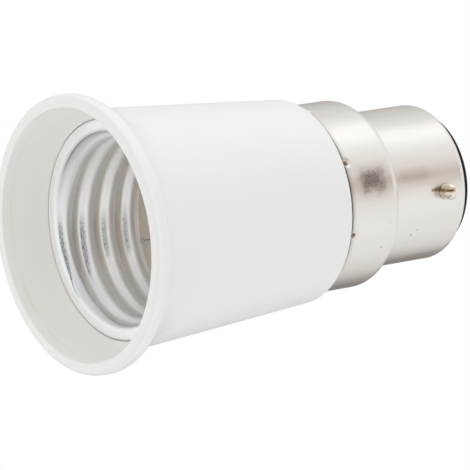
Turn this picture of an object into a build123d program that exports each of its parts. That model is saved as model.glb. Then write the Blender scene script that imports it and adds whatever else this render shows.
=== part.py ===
from build123d import *
import math
import os

# A lamp socket adapter: a bayonet cap above, a screw lamp socket in the flared mouth below.
# Millimetres. The axis is Z, the mouth's rim stands on Z = 0, and the bayonet pins lie along X.

# Screw shell, rolled from sheet
shell_sheet = 0.4
thread_pitch = 3.629
thread_turns = 4.05
thread_root_radius = 13.3
thread_depth = 1.05
thread_crest_round = 1.0
thread_flank_angle = 46.0
thread_start_angle = -93.0
thread_above_flange = 1.1
flange_width = 1.7
flange_bend = 0.6
shell_length = 19.7
shell_floor_width = 2.3
shell_tab_width = 4.4
slit_width = 0.3
slit_length = 5.5
slit_hole_radius = 0.4
slit_angle = 160.3
pip_clearance = 0.05

# Housing, moulded
mouth_depth = 6.3
mouth_flare = 4.0
lip_width = 1.65
lip_inner_round = 0.4
lip_outer_round = 0.85
lip_height = 2.0
lip_back_round = 0.7
neck_height = 8.5
neck_wall = 2.45
flare_round = 9.5
seam_height = 36.8
seam_step = 1.07
seam_round = 1.0
bulkhead = 2.0
chamber_clearance = 0.2
chamber_below_seam = 2.0
spigot_length = 7.2
spigot_wall = 1.1
shell_clearance = 0.2
spigot_clearance = 0.05

# Bayonet cap, drawn from sheet
cap_sheet = 0.45
barrel_radius = 11.0
barrel_length = 13.65
shoulder_width = 2.2
shoulder_round = 1.6
collar_length = 9.5
curl_round = 1.1
crimp_count = 8
crimp_angle = 16.9
crimp_above_seam = 1.0
crimp_radius = 0.35
crimp_depth = 0.5
crimp_round = 0.3
crimp_dent_radius = 0.85
crimp_dent_depth = 0.16
crimp_skin = 0.2

# Bayonet pins
pin_radius = 1.15
pin_reach = 2.0
pin_dome = 0.8
pin_from_end = 4.1
pin_head_radius = 1.6
pin_head = 0.6
pin_clearance = 0.03

# Black disc and end contacts
disc_stands_out = 1.1
disc_rim = 1.5
disc_edge_round = 0.4
disc_clearance = 0.05
contact_offset = 4.2
contact_radius = 2.6
contact_sheet = 0.4
eyelet_radius = 1.2
eyelet_wall = 0.4
eyelet_clearance = 0.05
dome_radius = 2.0
dome_height = 0.9

# Sprung tongue in the socket
tongue_sheet = 0.4
tongue_width = 5.0
tongue_tip_width = 4.0
tongue_foot_start = -7.0
tongue_foot_end = -2.2
tongue_crest = 1.2
tongue_rise = 3.4
tongue_end = 2.8
tongue_end_drop = 0.7
tongue_bend = 0.8

# Rivets, tags, wires and solder
rivet_radius = 1.0
rivet_clearance = 0.05
rivet_head_radius = 1.6
rivet_head = 0.9
rivet_tail = 0.8
rivet_pad = 0.3
shell_rivet_offset = 9.2
tongue_rivet_offset = -4.6
tag_sheet = 0.5
tag_width = 3.2
tag_reach = 4.0
contact_tag_angle = 180.0
shell_tag_angle = 160.0
wire_radius = 0.5
wire_insulation = 0.5
wire_clearance = 0.05
wire_bare_low = 2.5
wire_bare_high = 1.6
wire_straight = 7.0
wire_bend_share = 0.45
wire_in_dome = 0.3
bead_radius = 1.1
bead_height = 1.4

# Worked out from the sizes above
shell_wall_radius = thread_root_radius + shell_sheet
shell_floor_radius = thread_root_radius - shell_floor_width
flange_radius = thread_root_radius + flange_width
bore_radius = shell_wall_radius + shell_clearance
ledge_radius = flange_radius + shell_clearance
ledge_height = mouth_depth + shell_sheet
floor_height = mouth_depth + shell_length
tab_height = floor_height - shell_sheet
slit_end = tab_height - slit_length
bend_top = mouth_depth + flange_bend
bulkhead_top = floor_height + bulkhead
tag_top = bulkhead_top + tag_sheet
mouth_radius = flange_radius + mouth_flare
opening_radius = mouth_radius - lip_width
neck_radius = bore_radius + neck_wall
collar_radius = barrel_radius + shoulder_width
seam_radius = collar_radius + seam_step
collar_bore = collar_radius - cap_sheet
spigot_radius = collar_bore - spigot_clearance
spigot_top = seam_height + spigot_length
spigot_bore = spigot_radius - spigot_wall
chamber_radius = shell_rivet_offset + rivet_head_radius + rivet_pad + chamber_clearance
chamber_top = seam_height - chamber_below_seam
crimp_height = seam_height + crimp_above_seam
crimp_tip = crimp_depth + crimp_skin
crimp_slope = crimp_radius / (crimp_depth - crimp_dent_depth)
relief_radius = collar_radius - crimp_tip - spigot_clearance
relief_top = crimp_height + crimp_dent_radius
shoulder_height = seam_height + collar_length
barrel_top = shoulder_height + barrel_length
barrel_bore = barrel_radius - cap_sheet
curl_radius = barrel_radius - curl_round
disc_face_radius = curl_radius - disc_clearance
curl_height = barrel_top - curl_round
pin_height = barrel_top - pin_from_end
disc_radius = barrel_bore - disc_clearance
disc_shoulder = barrel_top - cap_sheet
disc_bottom = disc_shoulder - disc_rim
disc_top = barrel_top + disc_stands_out
contact_top = disc_top + contact_sheet
wire_hole_radius = wire_radius + wire_clearance
shell_rivets = [(shell_rivet_offset, 0), (-shell_rivet_offset, 0)]
tongue_rivet = (0, tongue_rivet_offset)
end_contacts = {"front": (0, contact_offset), "back": (0, -contact_offset)}


def radial_plane(angle, height):
    """The plane through the axis at an angle round it, with local x outwards and local y up."""
    turn = math.radians(angle)
    outwards = (math.cos(turn), math.sin(turn), 0)
    return Plane((0, 0, height), x_dir=outwards, z_dir=(math.sin(turn), -math.cos(turn), 0))


def facing_plane(angle, radius, height):
    """The plane square to a radius, with local x round the axis, local y up and local z outwards."""
    turn = math.radians(angle)
    outwards = Vector(math.cos(turn), math.sin(turn), 0)
    place = outwards * radius + Vector(0, 0, height)
    return Plane(place, x_dir=(-outwards.Y, outwards.X, 0), z_dir=outwards)


def upright_plane(place):
    """The plane through an upright line at a place, with local x along X and local y up."""
    return Plane((*place, 0), x_dir=(1, 0, 0), z_dir=(0, -1, 0))


def upright_axis(place):
    return Axis((*place, 0), (0, 0, 1))


def dome_round(foot_radius, height):
    """The radius of a dome's arc over a round foot."""
    return (foot_radius**2 + height**2) / (2 * height)


def save(part, name):
    """Write one piece to its own file."""
    part.label = name
    export_step(part, f"parts/{name}.step")


os.makedirs("parts", exist_ok=True)

# Housing: mouth, socket bore, bulkhead and spigot in one moulding, with a pip that locates the shell
with BuildPart() as housing:
    with BuildSketch(Plane.XZ) as housing_section:
        with BuildLine():
            mouth = Polyline(
                (ledge_radius, mouth_depth),
                (opening_radius, 0),
                (mouth_radius, 0),
                (mouth_radius, lip_height),
            )
            flare = RadiusArc(mouth @ 1, (neck_radius, neck_height), flare_round)
            Polyline(
                flare @ 1,
                (seam_radius, seam_height),
                (relief_radius, seam_height),
                (relief_radius, relief_top),
                (spigot_radius, relief_top),
                (spigot_radius, spigot_top),
                (spigot_bore, spigot_top),
                (spigot_bore, chamber_top),
                (chamber_radius, chamber_top),
                (chamber_radius, bulkhead_top),
                (0, bulkhead_top),
                (0, floor_height),
                (bore_radius, floor_height),
                (bore_radius, ledge_height),
                (ledge_radius, ledge_height),
                (ledge_radius, mouth_depth),
            )
        make_face()
        rounded_corners = {
            (opening_radius, 0): lip_inner_round,
            (mouth_radius, 0): lip_outer_round,
            (mouth_radius, lip_height): lip_back_round,
            (seam_radius, seam_height): seam_round,
        }
        for corner, rounding in rounded_corners.items():
            fillet(housing_section.vertices().sort_by_distance(corner)[0], rounding)
    revolve(axis=Axis.Z)
    with BuildSketch(Plane.XY.offset(bulkhead_top)):
        with Locations(shell_rivets[1]):
            Circle(rivet_head_radius + rivet_pad)
    extrude(amount=tag_sheet)
    with BuildSketch(Plane.XY.offset(floor_height)):
        with Locations(*shell_rivets, tongue_rivet):
            Circle(rivet_radius + rivet_clearance)
    extrude(amount=bulkhead + tag_sheet, mode=Mode.SUBTRACT)
    with BuildSketch(facing_plane(slit_angle, thread_root_radius, slit_end)):
        Circle(slit_hole_radius - pip_clearance)
    extrude(until=Until.NEXT)
save(housing.part, "housing")

# Screw shell: the thread is rolled in from outside, so a ridge inside has a groove behind it
flank = math.radians(thread_flank_angle)
thread_start_height = mouth_depth - thread_above_flange
thread_place = Location((0, 0, thread_start_height), (0, 0, thread_start_angle))


def rolled_thread(crest_radius, crest_round, foot_radius, lowest):
    """One turn after another of the thread's round section, cut off level where it meets the flange."""
    flank_top = crest_radius + crest_round * (1 - math.cos(flank))
    crest_half = crest_round * math.sin(flank)
    foot_half = crest_half + (foot_radius - flank_top) / math.tan(flank)
    with BuildPart() as rolled:
        with BuildLine():
            Helix(thread_pitch, thread_pitch * thread_turns, thread_root_radius)
        with BuildSketch(Plane.XZ):
            with BuildLine():
                crest = ThreePointArc((flank_top, -crest_half), (crest_radius, 0), (flank_top, crest_half))
                Polyline(crest @ 1, (foot_radius, foot_half), (foot_radius, -foot_half), crest @ 0)
            make_face()
        sweep(is_frenet=True)
        split(bisect_by=Plane.XY.offset(lowest - thread_start_height), keep=Keep.TOP)
    return thread_place * rolled.part


thread_ridge = rolled_thread(
    crest_radius=thread_root_radius - thread_depth,
    crest_round=thread_crest_round,
    foot_radius=thread_root_radius + shell_sheet / 2,
    lowest=bend_top,
)
thread_groove = rolled_thread(
    crest_radius=shell_wall_radius - thread_depth,
    crest_round=thread_crest_round - shell_sheet,
    foot_radius=shell_wall_radius + shell_sheet,
    lowest=bend_top + shell_sheet,
)

with BuildPart() as screw_shell:
    with BuildSketch(Plane.XZ) as shell_section:
        with BuildLine():
            Polyline(
                (flange_radius, mouth_depth),
                (thread_root_radius, mouth_depth),
                (thread_root_radius, tab_height),
                (shell_floor_radius, tab_height),
                (shell_floor_radius, floor_height),
                (shell_wall_radius, floor_height),
                (shell_wall_radius, ledge_height),
                (flange_radius, ledge_height),
                close=True,
            )
        make_face()
        fillet(shell_section.vertices().sort_by_distance((thread_root_radius, mouth_depth))[0], flange_bend)
    revolve(axis=Axis.Z)
    with BuildSketch(Plane.XY.offset(tab_height)):
        for x, y in shell_rivets:
            with Locations((x, y)):
                Circle(shell_tab_width / 2)
            with Locations((math.copysign((abs(x) + thread_root_radius) / 2, x), y)):
                Rectangle(thread_root_radius - abs(x), shell_tab_width)
        with Locations(*shell_rivets):
            Circle(rivet_radius + rivet_clearance, mode=Mode.SUBTRACT)
    extrude(amount=shell_sheet)
    add(thread_ridge)
    add(thread_groove, mode=Mode.SUBTRACT)
    with BuildSketch(facing_plane(slit_angle, thread_root_radius - shell_sheet, slit_end)):
        Rectangle(slit_width, slit_length, align=(Align.CENTER, Align.MIN))
        Circle(slit_hole_radius)
    extrude(amount=3 * shell_sheet, mode=Mode.SUBTRACT)
save(screw_shell.part, "screw_shell")

# Sprung tongue, which the lamp's tip presses towards the bulkhead
with BuildPart() as centre_contact:
    with BuildSketch(Plane.YZ):
        with BuildLine() as tongue_line:
            FilletPolyline(
                (tongue_foot_start, floor_height),
                (tongue_foot_end, floor_height),
                (tongue_crest, floor_height - tongue_rise),
                (tongue_end, floor_height - tongue_rise + tongue_end_drop),
                radius=tongue_bend,
            )
            offset(amount=tongue_sheet, side=Side.RIGHT)
        make_face()
    extrude(amount=tongue_width / 2, both=True)
    with BuildSketch(Plane.XY) as tongue_plan:
        with BuildLine():
            Polyline(
                (-tongue_width / 2, tongue_foot_start),
                (tongue_width / 2, tongue_foot_start),
                (tongue_width / 2, tongue_foot_end),
                (tongue_tip_width / 2, tongue_end),
                (-tongue_tip_width / 2, tongue_end),
                (-tongue_width / 2, tongue_foot_end),
                close=True,
            )
        make_face()
        with Locations(tongue_rivet):
            Circle(rivet_radius + rivet_clearance, mode=Mode.SUBTRACT)
    extrude(amount=floor_height, mode=Mode.INTERSECT)
save(centre_contact.part, "centre_contact")

# Rivets, all alike: the heads are in the socket and the tails hold the tags above the bulkhead
rivet_seats = {place: floor_height - shell_sheet for place in shell_rivets}
rivet_seats[tongue_rivet] = floor_height - tongue_sheet
rivet_head_round = dome_round(rivet_head_radius, rivet_head)
rivet_tail_round = dome_round(rivet_head_radius, rivet_tail)
with BuildPart() as rivets:
    for place, seat in rivet_seats.items():
        with BuildSketch(upright_plane(place)):
            with BuildLine():
                shank = Polyline(
                    (rivet_head_radius, seat),
                    (rivet_radius, seat),
                    (rivet_radius, tag_top),
                    (rivet_head_radius, tag_top),
                )
                tail = RadiusArc(shank @ 1, (0, tag_top + rivet_tail), -rivet_tail_round)
                middle = Line(tail @ 1, (0, seat - rivet_head))
                RadiusArc(middle @ 1, shank @ 0, -rivet_head_round)
            make_face()
        revolve(axis=upright_axis(place))
save(rivets.part, "rivets")

# Tags, wires and solder: each wire runs from a tag on the bulkhead to one of the cap's end contacts
circuits = {
    "contact": (tongue_rivet, contact_tag_angle, end_contacts["back"]),
    "shell": (shell_rivets[0], shell_tag_angle, end_contacts["front"]),
}
for name, (rivet, angle, contact) in circuits.items():
    foot = Vector(*rivet) + Vector(tag_reach, 0).rotate(Axis.Z, angle)
    wire_foot = (foot.X, foot.Y)
    with BuildPart() as tag:
        with BuildSketch(Plane.XY.offset(bulkhead_top)):
            with Locations(Location((*rivet, 0), (0, 0, angle))):
                with Locations((tag_reach / 2, 0)):
                    SlotCenterToCenter(tag_reach, tag_width)
            with Locations(rivet):
                Circle(rivet_radius + rivet_clearance, mode=Mode.SUBTRACT)
            with Locations(wire_foot):
                Circle(wire_hole_radius, mode=Mode.SUBTRACT)
        extrude(amount=tag_sheet)
    save(tag.part, f"{name}_tag")

    insulated_from = bulkhead_top + wire_bare_low
    insulated_to = disc_bottom - wire_bare_high
    first_bend = Vector(*wire_foot, insulated_from + wire_straight)
    second_bend = Vector(*contact, insulated_to - wire_straight)
    across = second_bend - first_bend
    half_turn = math.radians(across.get_angle(Vector(0, 0, 1))) / 2
    bend_round = wire_bend_share * min(wire_straight, across.length) / math.tan(half_turn)
    lengths = {
        wire_radius: (bulkhead_top, contact_top + wire_in_dome),
        wire_radius + wire_insulation: (insulated_from, insulated_to),
    }
    with BuildPart() as wire:
        for radius, (low, high) in lengths.items():
            route = [(*wire_foot, low), first_bend, second_bend, (*contact, high)]
            with BuildLine():
                FilletPolyline(*route, radius=bend_round)
            with BuildSketch(Plane((*wire_foot, low))):
                Circle(radius)
            sweep()
    save(wire.part, f"{name}_wire")

    with BuildPart() as bead:
        with BuildSketch(upright_plane(wire_foot)):
            with BuildLine():
                Polyline(
                    (wire_hole_radius, tag_top),
                    (bead_radius, tag_top),
                    (wire_hole_radius, tag_top + bead_height),
                    close=True,
                )
            make_face()
        revolve(axis=upright_axis(wire_foot))
    save(bead.part, f"{name}_tag_solder")

# Crimps: a prick in a shallow dent, which raises a bump inside the collar
with BuildPart() as crimp_bump:
    with BuildSketch(Plane.XZ):
        with BuildLine():
            Polyline(
                (0, -crimp_tip),
                (crimp_slope * (crimp_tip - cap_sheet / 2), -cap_sheet / 2),
                (0, -cap_sheet / 2),
                close=True,
            )
        make_face()
    revolve(axis=Axis.Z)
with BuildPart() as crimp_prick:
    with BuildSketch(Plane.XZ) as prick_section:
        with BuildLine():
            Polyline(
                (0, -crimp_depth),
                (crimp_radius, -crimp_dent_depth),
                (2 * crimp_dent_radius - crimp_radius, crimp_dent_depth),
                (0, crimp_dent_depth),
                close=True,
            )
        make_face()
        fillet(prick_section.vertices().sort_by_distance((crimp_radius, -crimp_dent_depth))[0], crimp_round)
    revolve(axis=Axis.Z)
crimp_turns = [crimp_angle + step * 360 / crimp_count for step in range(crimp_count)]
crimps = [facing_plane(turn, collar_radius, crimp_height).location for turn in crimp_turns]

# Bayonet cap: collar, shoulder and barrel drawn in one, its end curled over the black disc
with BuildPart() as bayonet_cap:
    with BuildSketch(Plane.XZ) as cap_section:
        with BuildLine():
            shoulder = Polyline(
                (collar_radius, seam_height),
                (collar_radius, shoulder_height),
                (barrel_radius, shoulder_height),
                (barrel_radius, curl_height),
            )
            curl = RadiusArc(shoulder @ 1, (curl_radius, barrel_top), -curl_round)
            lip = Line(curl @ 1, (curl_radius, disc_shoulder))
            under_curl = RadiusArc(lip @ 1, (barrel_bore, curl_height), curl_round - cap_sheet)
            Polyline(
                under_curl @ 1,
                (barrel_bore, shoulder_height - cap_sheet),
                (collar_bore, shoulder_height - cap_sheet),
                (collar_bore, seam_height),
                (collar_radius, seam_height),
            )
        make_face()
        fillet(cap_section.vertices().sort_by_distance((collar_radius, shoulder_height))[0], shoulder_round)
        inner_corner = (collar_bore, shoulder_height - cap_sheet)
        fillet(cap_section.vertices().sort_by_distance(inner_corner)[0], shoulder_round - cap_sheet)
    revolve(axis=Axis.Z)
    with Locations(*crimps):
        add(crimp_bump.part)
        add(crimp_prick.part, mode=Mode.SUBTRACT)
    with BuildSketch(Plane.YZ.offset(-barrel_radius)):
        with Locations((0, pin_height)):
            Circle(pin_radius + pin_clearance)
    extrude(amount=2 * barrel_radius, mode=Mode.SUBTRACT)
save(bayonet_cap.part, "bayonet_cap")

# Bayonet pins, domed outside and headed inside the barrel
pin_seat = math.sqrt(barrel_bore**2 - pin_head_radius**2) - pin_clearance
pin_tip = barrel_radius + pin_reach
for name, angle in {"front": 0, "back": 180}.items():
    pin_plane = radial_plane(angle, pin_height)
    with BuildPart() as pin:
        with BuildSketch(pin_plane):
            with BuildLine():
                shank = Polyline(
                    (pin_seat - pin_head, 0),
                    (pin_seat - pin_head, pin_head_radius),
                    (pin_seat, pin_head_radius),
                    (pin_seat, pin_radius),
                    (pin_tip - pin_dome, pin_radius),
                )
                RadiusArc(shank @ 1, (pin_tip, 0), dome_round(pin_radius, pin_dome))
                Line((pin_tip, 0), shank @ 0)
            make_face()
        revolve(axis=Axis(pin_plane.origin, pin_plane.x_dir))
    save(pin.part, f"bayonet_pin_{name}")

# Black disc in the barrel's end, under the curl
with BuildPart() as cap_insulator:
    with BuildSketch(Plane.XZ) as disc_section:
        with BuildLine():
            Polyline(
                (0, disc_bottom),
                (disc_radius, disc_bottom),
                (disc_radius, disc_shoulder - curl_round + cap_sheet),
                (disc_face_radius, disc_shoulder),
                (disc_face_radius, disc_top),
                (0, disc_top),
                close=True,
            )
        make_face()
        fillet(disc_section.vertices().sort_by_distance((disc_face_radius, disc_top))[0], disc_edge_round)
    revolve(axis=Axis.Z)
    with BuildSketch(Plane.XY.offset(disc_bottom)):
        with Locations(*end_contacts.values()):
            Circle(eyelet_radius + eyelet_clearance)
    extrude(amount=disc_top - disc_bottom, mode=Mode.SUBTRACT)
save(cap_insulator.part, "cap_insulator")

# End contacts: an eyelet through the disc, with a solder dome that closes it round the wire's end
eyelet_bore = eyelet_radius - eyelet_wall
for name, place in end_contacts.items():
    with BuildPart() as eyelet:
        with BuildSketch(upright_plane(place)):
            with BuildLine():
                Polyline(
                    (eyelet_bore, disc_bottom),
                    (eyelet_radius, disc_bottom),
                    (eyelet_radius, disc_top),
                    (contact_radius, disc_top),
                    (contact_radius, contact_top),
                    (eyelet_bore, contact_top),
                    close=True,
                )
            make_face()
        revolve(axis=upright_axis(place))
    save(eyelet.part, f"end_contact_{name}")

    with BuildPart() as dome:
        with BuildSketch(upright_plane(place)):
            with BuildLine():
                socket = Polyline(
                    (0, contact_top + dome_height),
                    (0, contact_top + wire_in_dome),
                    (wire_hole_radius, contact_top + wire_in_dome),
                    (wire_hole_radius, contact_top),
                    (dome_radius, contact_top),
                )
                RadiusArc(socket @ 1, socket @ 0, -dome_round(dome_radius, dome_height))
            make_face()
        revolve(axis=upright_axis(place))
    save(dome.part, f"end_solder_{name}")
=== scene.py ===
import math

import bmesh
import bpy
from mathutils import Matrix, Vector


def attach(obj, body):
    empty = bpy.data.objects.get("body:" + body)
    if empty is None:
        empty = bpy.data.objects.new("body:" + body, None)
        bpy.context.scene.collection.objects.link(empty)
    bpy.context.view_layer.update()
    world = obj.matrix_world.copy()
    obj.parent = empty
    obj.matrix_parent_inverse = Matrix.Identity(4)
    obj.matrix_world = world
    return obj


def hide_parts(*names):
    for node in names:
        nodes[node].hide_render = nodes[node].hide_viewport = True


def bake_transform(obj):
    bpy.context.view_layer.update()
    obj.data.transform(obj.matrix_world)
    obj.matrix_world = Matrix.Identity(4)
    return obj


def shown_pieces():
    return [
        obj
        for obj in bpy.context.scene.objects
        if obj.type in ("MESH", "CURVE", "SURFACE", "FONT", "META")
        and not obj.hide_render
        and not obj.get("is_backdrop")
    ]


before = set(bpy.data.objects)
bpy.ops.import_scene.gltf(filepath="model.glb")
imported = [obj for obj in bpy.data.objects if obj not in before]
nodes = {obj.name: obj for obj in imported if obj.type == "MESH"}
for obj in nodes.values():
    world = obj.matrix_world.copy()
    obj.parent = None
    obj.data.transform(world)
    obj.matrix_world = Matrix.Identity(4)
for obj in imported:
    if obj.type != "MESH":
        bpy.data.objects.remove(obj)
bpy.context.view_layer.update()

MM = 0.001
WHITE = (1, 1, 1, 1)

# The photograph's camera, in the part's own frame
PHOTO_SIDE = 470
FOCAL_PIXELS = 4000
SENSOR = 36.0
CAMERA_PLACE = Vector((435.46, -80.33, -300.53)) * MM
CAMERA_VIEW = Vector((-0.78994, 0.15192, 0.59400))
CAMERA_UP = Vector((-0.09158, -0.98716, 0.13060))

# Sizes shared with the part's source, in millimetres and degrees
SHEET = 0.4
PITCH = 3.629
TURNS = 4.05
ROOT_RADIUS = 13.3
THREAD_DEPTH = 1.05
START_ANGLE = -93.0
START_HEIGHT = 5.2
FLANGE_RADIUS = 15.0
FLANGE_BEND = 0.6
MOUTH_DEPTH = 6.3
FLOOR_HEIGHT = 26.0
FLOOR_INNER_RADIUS = 11.0
TAB_WIDTH = 4.4
RIVET_HOLE_RADIUS = 1.05
SHELL_RIVET_OFFSET = 9.2
SLIT_ANGLE = 160.3
SLIT_LENGTH = 5.5
SLIT_HOLE_RADIUS = 0.4
TONGUE_WIDTH = 5.0
TONGUE_TIP_WIDTH = 4.0
TONGUE_FOOT_START = -7.0
TONGUE_FOOT_END = -2.2
TONGUE_CREST = 1.2
TONGUE_RISE = 3.4
TONGUE_END = 2.8
TONGUE_END_DROP = 0.7
TONGUE_BEND = 0.8
TONGUE_RIVET = -4.6
COLLAR_RADIUS = 13.2
CRIMP_HEIGHT = 37.8
WIRE_BARE_BELOW = 30.5
WIRE_BARE_ABOVE = 56.4

# The scene's own sizes. The thread lies lower than in the source and leans, by shares of the
# angle's cosine and sine, so that its bands lie where the photograph has them. It fades in over a
# range of heights from the flange. The slit, 0.3 wide in the source, is nearly closed here.
THREAD_LOWER = -0.30
THREAD_LEAN = (-0.10, -0.50)
THREAD_RUN_OUT = 0.1
THREAD_FADE_IN = (-0.6, 0.5)
FLANGE_FADE = 0.4
SLIT_WIDTH = 0.12
SLIT_SHORT = 0.6
SHEET_EDGE_ROUND = 0.12
FLOOR_BEND = 0.5
TAB_INSET = 0.005
TONGUE_EDGE = 0.08
TONGUE_CORNER = 0.5
TONGUE_LEAST = 0.02
CUT_PAST = 1.0  # how far a cutter reaches beyond what it cuts
CAP_FOOT_HEIGHT = 37.2

# The shares of the flange and of the ledge behind it over which the thread dies out
FLANGE_TAKES_THREAD = (0.2, 1.0)
LEDGE_LOSES_THREAD = (0.0, 0.8)

# How finely the scene's pieces are drawn, and the angle from which an edge is crisp
SHELL_STEPS = 256
WALL_STEPS = 150
BACK_STEPS = 76
SHEET_EDGE_STEPS = 3
FLANGE_STEPS = 6
FLANGE_BEND_STEPS = 8
FLOOR_BEND_STEPS = 6
LEDGE_STEPS = 4
TAB_END_STEPS = 20
HOLE_STEPS = 40
SLIT_HOLE_STEPS = 28
TONGUE_SAMPLES = 90
TONGUE_BEND_STEPS = 8
ROUNDING = 1e-9
CRISP = math.radians(35)


# Node helpers

# The span that most noise keeps to, and a ragged spot's grain and shares of its reach to fade over
NOISE_SPAN = (0.3, 0.7)
SPOT_GRAIN = 0.35
SPOT_FADE = (1.3, 0.6)


def new_material(name):
    """A node material with one principled shader, and its tree."""
    material = bpy.data.materials.new(name)
    material.use_nodes = True
    tree = material.node_tree
    return material, tree, tree.nodes["Principled BSDF"]


def node(tree, kind, **settings):
    made = tree.nodes.new(kind)
    for key, value in settings.items():
        setattr(made, key, value)
    return made


def feed(tree, socket, value):
    """Link a socket to another, or set it to a plain value."""
    if isinstance(value, bpy.types.NodeSocket):
        tree.links.new(value, socket)
    else:
        socket.default_value = value


def calc(tree, operation, first, second=0.0, third=0.0):
    made = node(tree, "ShaderNodeMath", operation=operation)
    for socket, value in zip(made.inputs, (first, second, third)):
        feed(tree, socket, value)
    return made.outputs[0]


def times(tree, product, *factors):
    """The product of several values."""
    for factor in factors:
        product = calc(tree, "MULTIPLY", product, factor)
    return product


def ranged(tree, value, low, high, to_low=0.0, to_high=1.0):
    """A smooth step of a value from one range to another."""
    made = node(tree, "ShaderNodeMapRange", interpolation_type="SMOOTHSTEP")
    ends = {"From Min": low, "From Max": high, "To Min": to_low, "To Max": to_high}
    for name, number in ends.items():
        made.inputs[name].default_value = number
    feed(tree, made.inputs["Value"], value)
    return made.outputs["Result"]


def within(tree, value, low, high, soft):
    """One inside a range and nothing outside it, with soft ends."""
    rise = ranged(tree, value, low - soft, low + soft)
    fall = ranged(tree, value, high + soft, high - soft)
    return times(tree, rise, fall)


def blend_colours(tree, factor, first, second):
    made = node(tree, "ShaderNodeMix", data_type="RGBA")
    feed(tree, made.inputs[0], factor)
    feed(tree, made.inputs[6], first)
    feed(tree, made.inputs[7], second)
    return made.outputs[2]


def stain(tree, colour, amount, share, tint):
    """A colour turned towards a tint by an amount and a share of it."""
    return blend_colours(tree, times(tree, amount, share), colour, tint)


def place(tree):
    """Position in the part's frame, in metres."""
    return node(tree, "ShaderNodeTexCoord").outputs["Object"]


def split_axes(tree, vector):
    """The three parts of a vector."""
    split = node(tree, "ShaderNodeSeparateXYZ")
    feed(tree, split.inputs[0], vector)
    return split.outputs


def axes(tree):
    """Radius from the axis, angle round it in degrees, and height, the lengths in millimetres."""
    x, y, z = split_axes(tree, place(tree))
    squares = calc(tree, "ADD", times(tree, x, x), times(tree, y, y))
    radius = calc(tree, "DIVIDE", calc(tree, "SQRT", squares), MM)
    angle = calc(tree, "DEGREES", calc(tree, "ARCTAN2", y, x))
    return radius, angle, calc(tree, "DIVIDE", z, MM)


def noise_at(tree, vector, detail, roughness=None):
    made = node(tree, "ShaderNodeTexNoise")
    feed(tree, made.inputs["Vector"], vector)
    made.inputs["Scale"].default_value = 1.0
    made.inputs["Detail"].default_value = detail
    if roughness is not None:
        made.inputs["Roughness"].default_value = roughness
    return made.outputs["Fac"]


def noise(tree, size, detail=3.0, stretch=(1.0, 1.0, 1.0), roughness=0.55):
    """Noise with lumps of a given size in millimetres, stretched along an axis by a factor."""
    mapping = node(tree, "ShaderNodeMapping")
    feed(tree, mapping.inputs["Vector"], place(tree))
    mapping.inputs["Scale"].default_value = [1 / (size * MM * factor) for factor in stretch]
    return noise_at(tree, mapping.outputs[0], detail, roughness)


def thread_noise(tree, above, angle, across, along):
    """Noise drawn out along the thread: its size across in millimetres and along in degrees."""
    joined = node(tree, "ShaderNodeCombineXYZ")
    feed(tree, joined.inputs[0], calc(tree, "DIVIDE", above, across))
    feed(tree, joined.inputs[1], calc(tree, "DIVIDE", angle, along))
    return noise_at(tree, joined.outputs[0], 3.0)


def wandering(tree, value, reach, wave):
    """A value moved about by a wave of noise, by up to half a reach either way."""
    return calc(tree, "MULTIPLY_ADD", wave, reach, calc(tree, "SUBTRACT", value, reach / 2))


def near(tree, middle, reach, ragged=1.0):
    """One at a place and nothing beyond a reach from it, in millimetres, with a ragged edge."""
    distance = node(tree, "ShaderNodeVectorMath", operation="DISTANCE")
    feed(tree, distance.inputs[0], place(tree))
    distance.inputs[1].default_value = [axis * MM for axis in middle]
    uneven = times(tree, noise(tree, SPOT_GRAIN), ragged * reach * MM)
    distance = calc(tree, "ADD", distance.outputs["Value"], uneven)
    return ranged(tree, distance, *(share * reach * MM for share in SPOT_FADE))


def patch(tree, angle, height, angles, heights, soft_angle, soft_height):
    """One inside a range of angles and heights on the cap."""
    around = within(tree, angle, *angles, soft_angle)
    return times(tree, around, within(tree, height, *heights, soft_height))


def bump(tree, shader, height, depth, strength):
    """Roughen a surface by a height that spans a depth in millimetres."""
    made = node(tree, "ShaderNodeBump")
    made.inputs["Strength"].default_value = strength
    made.inputs["Distance"].default_value = depth * MM
    feed(tree, made.inputs["Height"], height)
    tree.links.new(made.outputs[0], shader.inputs["Normal"])


# Materials

# Rings of painted shade on the mouth's lip, tinted warm: radii with their softness, heights from
# none to full, the share and the colour. Inside, the moulding is told by its radius and a share of
# its height.
LIP_SHADE_RINGS = (
    ((17.1, 18.5, 0.3), (0.9, 0.3), 0.8, (0.75, 0.737, 0.71, 1)),
    ((18.1, 18.85, 0.12), (0.65, 0.35), 0.85, (0.765, 0.758, 0.745, 1)),
    ((17.0, 17.5, 0.1), (1.4, 1.0), 0.9, (0.815, 0.805, 0.782, 1)),
)
# A painted shadow line along the lip's inner edge, tinted yellow, and its colour
LIP_EDGE_SHADOW_RING = ((16.8, 16.95, 0.08), (2.2, 1.8))
LIP_EDGE_SHADOW = (0.77, 0.745, 0.67, 1)
INNER_SLOPE = 0.34
INNER_REACH = (18.6, 18.2)

# Patches on the cap: angles, heights, and the softness of each. The halo and the smudge are a
# painted reflection of a dark gap in the studio.
HALO_PATCH = ((-25.0, -5.0), (39.0, 44.0), 4.0, 1.0)
REFLECTED_SMUDGE_PATCH = ((-21.0, -9.5), (39.7, 43.2), 4.2, 0.95)
RUBBED_PATCH = ((-20.0, -11.0), (48.0, 53.0), 3.0, 0.8)
CAP_SPECKS = (
    ((9.43, 5.67, 50.52), 0.34),
    ((9.78, 5.04, 51.35), 0.26),
    ((11.67, 6.17, 43.23), 0.30),
    ((10.59, 7.87, 43.66), 0.24),
    ((12.93, 2.66, 43.99), 0.18),
    ((-8.1, 7.5, 52.4), 0.28),
    ((-4.6, -12.4, 42.1), 0.24),
)

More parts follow.
